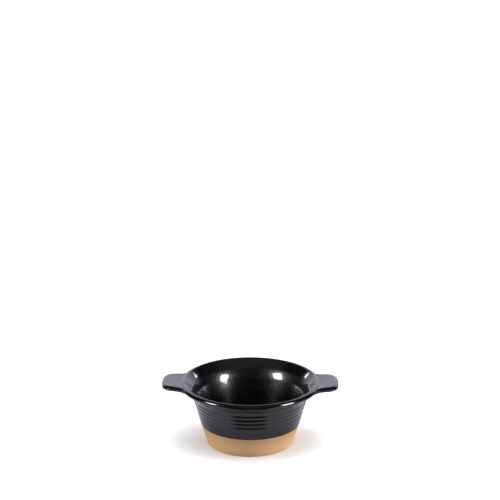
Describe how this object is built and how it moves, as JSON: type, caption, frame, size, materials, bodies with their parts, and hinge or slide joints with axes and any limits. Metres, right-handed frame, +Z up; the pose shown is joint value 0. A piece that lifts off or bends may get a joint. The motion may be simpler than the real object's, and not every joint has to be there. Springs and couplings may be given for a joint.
{
  "type": "baking dish",
  "caption": "Round stoneware baking dish with a flared, ringed wall, flat lug handles level with the rim and a bare clay foot below a dark gloss glaze.",
  "frame": {"origin": "centre of the foot, on the surface that the dish stands on", "axes": "+Z up along the bowl's axis, +X along the line through both lugs"},
  "size_m": [0.1808, 0.144, 0.0655],
  "materials": {
    "bare_clay": "matt bare stoneware, finely turned",
    "dark_glaze": "gloss black glaze with a fine grey fleck"
  },
  "bodies": {
    "root": {"stoneware_bowl": "bare_clay", "right_lug": "bare_clay", "left_lug": "bare_clay", "glaze_coat": "dark_glaze"}
  },
  "joints": []
}
